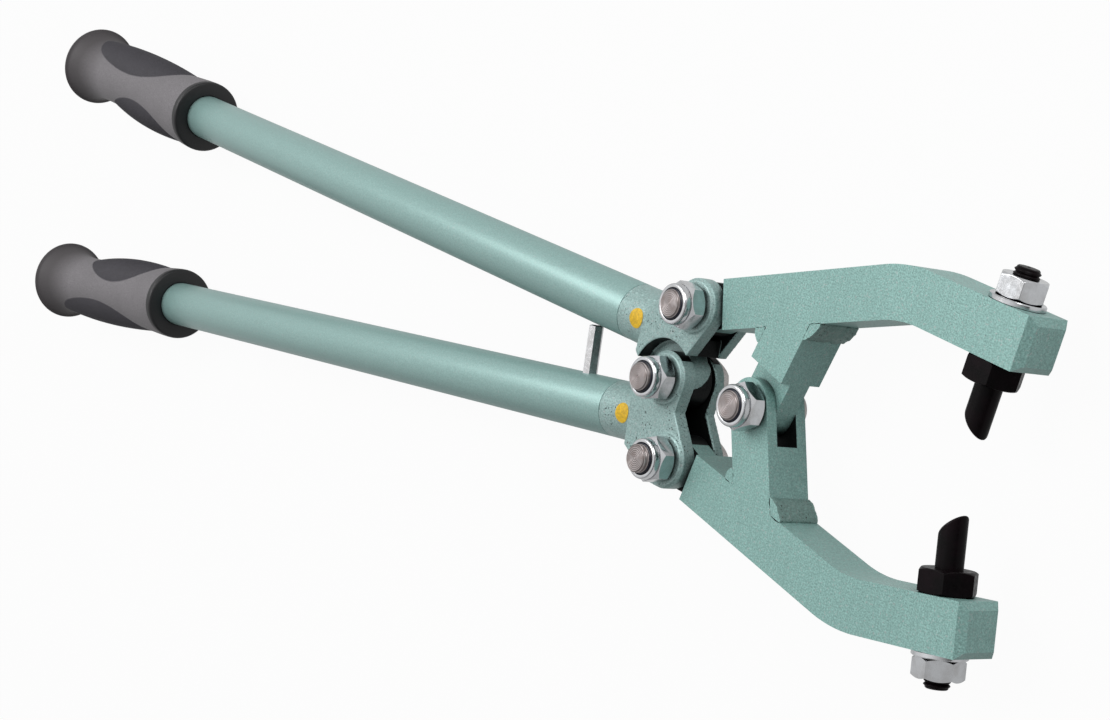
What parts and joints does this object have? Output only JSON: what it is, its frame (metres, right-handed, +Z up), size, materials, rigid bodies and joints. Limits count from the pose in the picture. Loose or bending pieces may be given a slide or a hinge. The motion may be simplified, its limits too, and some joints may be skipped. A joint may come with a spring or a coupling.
{
  "type": "sheet metal hole punch pliers",
  "caption": "Long-handled toggle pliers whose opposed bar jaws each carry a slant-ended round punch, with a stop pin between tube handles that end in flared grips.",
  "frame": {"origin": "middle of the bounding box's base, with the jaws closed", "axes": "+X from the grips to the punches, +Y towards the upper jaw, +Z up from the bench along the pivot bolts to their nuts"},
  "size_m": [0.7978, 0.1882, 0.0534],
  "materials": {
    "green_paint": "semi-gloss metallic paint over castings, bar and tube",
    "grip_grey": "matte moulded grip",
    "pad_dark": "soft dark ribbed pads",
    "collar_black": "glossy black",
    "bright_steel": "bright drawn hexagon bar",
    "bolt_steel": "turned bolt ends",
    "zinc": "bright zinc plating",
    "nylon": "dark blue nylon",
    "black_oxide": "blackened steel",
    "yellow_paint": "dabbed paint"
  },
  "bodies": {
    "lower_jaw": {"lower_jaw_arm": "green_paint", "lower_jaw_lug": "green_paint", "lower_jaw_weld": "green_paint", "lower_punch": "black_oxide", "lower_punch_nut": "zinc", "lower_punch_washer": "zinc", "jaw_pivot_bolt": "bolt_steel", "jaw_pivot_nut": "zinc", "jaw_nylon_ring": "nylon"},
    "upper_jaw": {"upper_jaw_arm": "green_paint", "upper_jaw_lug": "green_paint", "upper_jaw_weld": "green_paint", "upper_punch": "black_oxide", "upper_punch_nut": "zinc", "upper_punch_washer": "zinc"},
    "lower_handle": {"lower_fork": "green_paint", "lower_tube": "green_paint", "lower_grip": "grip_grey", "lower_grip_pads": "pad_dark", "lower_grip_collar": "collar_black", "stop_pin": "bright_steel", "handle_pivot_bolt": "bolt_steel", "handle_pivot_nut": "zinc", "handle_nylon_ring": "nylon", "lower_link_bolt": "bolt_steel", "lower_link_nut": "zinc", "lower_link_nylon_ring": "nylon", "lower_paint_mark": "yellow_paint"},
    "upper_handle": {"upper_fork": "green_paint", "upper_tube": "green_paint", "upper_grip": "grip_grey", "upper_grip_pads": "pad_dark", "upper_grip_collar": "collar_black", "upper_link_bolt": "bolt_steel", "upper_link_nut": "zinc", "upper_link_nylon_ring": "nylon", "upper_paint_mark": "yellow_paint"}
  },
  "joints": [
    {"name": "jaw_pivot", "type": "hinge", "parent": "lower_jaw", "child": "upper_jaw", "pos_m": [0.2722, -0.00027, 0.024], "axis": [0, 0, 1], "range_deg": [0, 18]},
    {"name": "lower_link_pivot", "type": "hinge", "parent": "lower_jaw", "child": "lower_handle", "pos_m": [0.2307, -0.03257, 0.024], "axis": [0, 0, 1], "range_deg": [0, 34]},
    {"name": "upper_link_pivot", "type": "hinge", "parent": "upper_jaw", "child": "upper_handle", "pos_m": [0.2307, 0.03203, 0.024], "axis": [0, 0, -1], "range_deg": [0, 34]}
  ],
  "couplings": [
    {"joint": "lower_link_pivot", "follows": "jaw_pivot", "ratio": 1.8762},
    {"joint": "upper_link_pivot", "follows": "jaw_pivot", "ratio": 1.8762}
  ]
}
